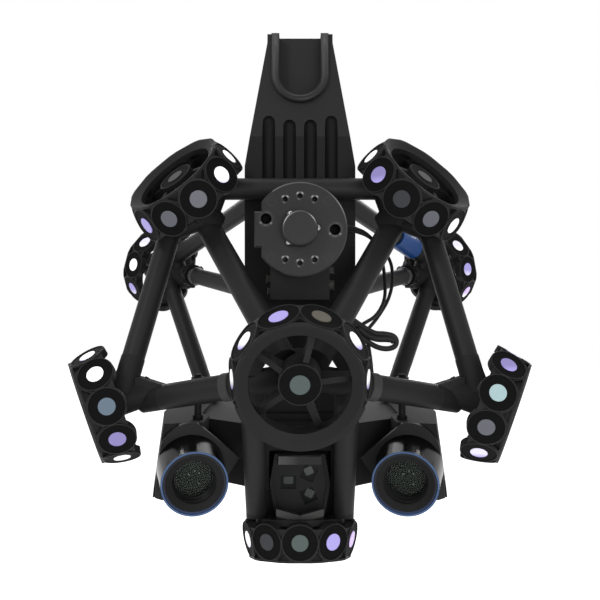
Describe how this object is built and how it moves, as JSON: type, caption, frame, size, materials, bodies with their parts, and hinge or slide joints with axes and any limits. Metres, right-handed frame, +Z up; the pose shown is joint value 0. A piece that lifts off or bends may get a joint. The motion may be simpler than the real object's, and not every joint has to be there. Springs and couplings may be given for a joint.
{
  "type": "three-dimensional scanner",
  "caption": "Robot-held optical scanner: lens barrels and a laser projector on a tube truss with faceted target rings, a ball-lock coupling and an arm housing",
  "frame": {"origin": "centre of the coupling plate's front face", "axes": "-Y is the direction of scanning (towards the viewer of the picture), +Z runs up along the arm, +X is the viewer's right"},
  "size_m": [0.3083, 0.304, 0.3668],
  "materials": {
    "ring_black": "satin black anodised",
    "reflector": "retro-reflective, white to violet",
    "node_black": "matt black",
    "tube_black": "matt black carbon fibre tube",
    "plate_grey": "dark grey anodised",
    "screw_steel": "blackened steel",
    "lock_steel": "turned steel",
    "ball_chrome": "polished",
    "arm_black": "matt black",
    "shell_black": "satin black moulding",
    "head_black": "satin black anodised",
    "light_blue": "clear blue light guide",
    "lens_glass": "coated",
    "window_glass": "dark filter glass",
    "lens_core": "black with coated glass front",
    "sleeve_blue": "matt",
    "cable_black": "matt"
  },
  "bodies": {
    "frame": {"adapter": "arm_black", "arm": "arm_black", "arm_cover": "arm_black", "base_node": "node_black", "body_shell_lower": "shell_black", "body_shell_upper": "shell_black", "cables": "cable_black", "column_brackets": "head_black", "column_left": "tube_black", "column_right": "tube_black", "coupling_plate": "plate_grey", "cross_bar": "tube_black", "face_plates": "head_black", "front_node": "node_black", "hub_screws": "screw_steel", "laser_housing": "head_black", "laser_windows": "window_glass", "leg_tube_left": "tube_black", "leg_tube_right": "tube_black", "lens_barrels": "head_black", "lens_glasses": "lens_glass", "lens_groups": "lens_core", "light_rings": "light_blue", "lock_boss": "lock_steel", "plate_screws": "screw_steel", "pod_hangers": "head_black", "rear_leg_strut_left": "tube_black", "rear_leg_strut_right": "tube_black", "rear_lower_strut_left": "tube_black", "rear_lower_strut_right": "tube_black", "rear_node_left": "node_black", "rear_node_right": "node_black", "rear_upper_strut_left": "tube_black", "rear_upper_strut_right": "tube_black", "reflectors": "reflector", "sensor_pods": "shell_black", "side_node_left": "node_black", "side_node_right": "node_black", "side_tube_left": "tube_black", "side_tube_right": "tube_black", "strut_shoes": "head_black", "strut_sleeve": "sleeve_blue", "target_ring_base": "ring_black", "target_ring_front": "ring_black", "target_ring_rear_left": "ring_black", "target_ring_rear_right": "ring_black", "target_ring_side_left": "ring_black", "target_ring_side_right": "ring_black", "target_ring_upper_left": "ring_black", "target_ring_upper_right": "ring_black", "upper_node_left": "node_black", "upper_node_right": "node_black", "v_tube_left": "tube_black", "v_tube_right": "tube_black"},
    "piston": {"lock_piston": "lock_steel"},
    "ball_1": {"lock_ball_1": "ball_chrome"},
    "ball_2": {"lock_ball_2": "ball_chrome"},
    "ball_3": {"lock_ball_3": "ball_chrome"}
  },
  "joints": [
    {"name": "piston_slide", "type": "slide", "parent": "frame", "child": "piston", "axis": [0, 1, 0], "range_m": [0, 0.0042]},
    {"name": "ball_1_slide", "type": "slide", "parent": "frame", "child": "ball_1", "axis": [0.9986, 0, 0.0523], "range_m": [-0.0021, 0]},
    {"name": "ball_2_slide", "type": "slide", "parent": "frame", "child": "ball_2", "axis": [-0.5446, 0, 0.8387], "range_m": [-0.0021, 0]},
    {"name": "ball_3_slide", "type": "slide", "parent": "frame", "child": "ball_3", "axis": [-0.6157, 0, -0.788], "range_m": [-0.0021, 0]}
  ],
  "couplings": [
    {"joint": "ball_1_slide", "follows": "piston_slide", "ratio": -0.5},
    {"joint": "ball_2_slide", "follows": "piston_slide", "ratio": -0.5},
    {"joint": "ball_3_slide", "follows": "piston_slide", "ratio": -0.5}
  ]
}
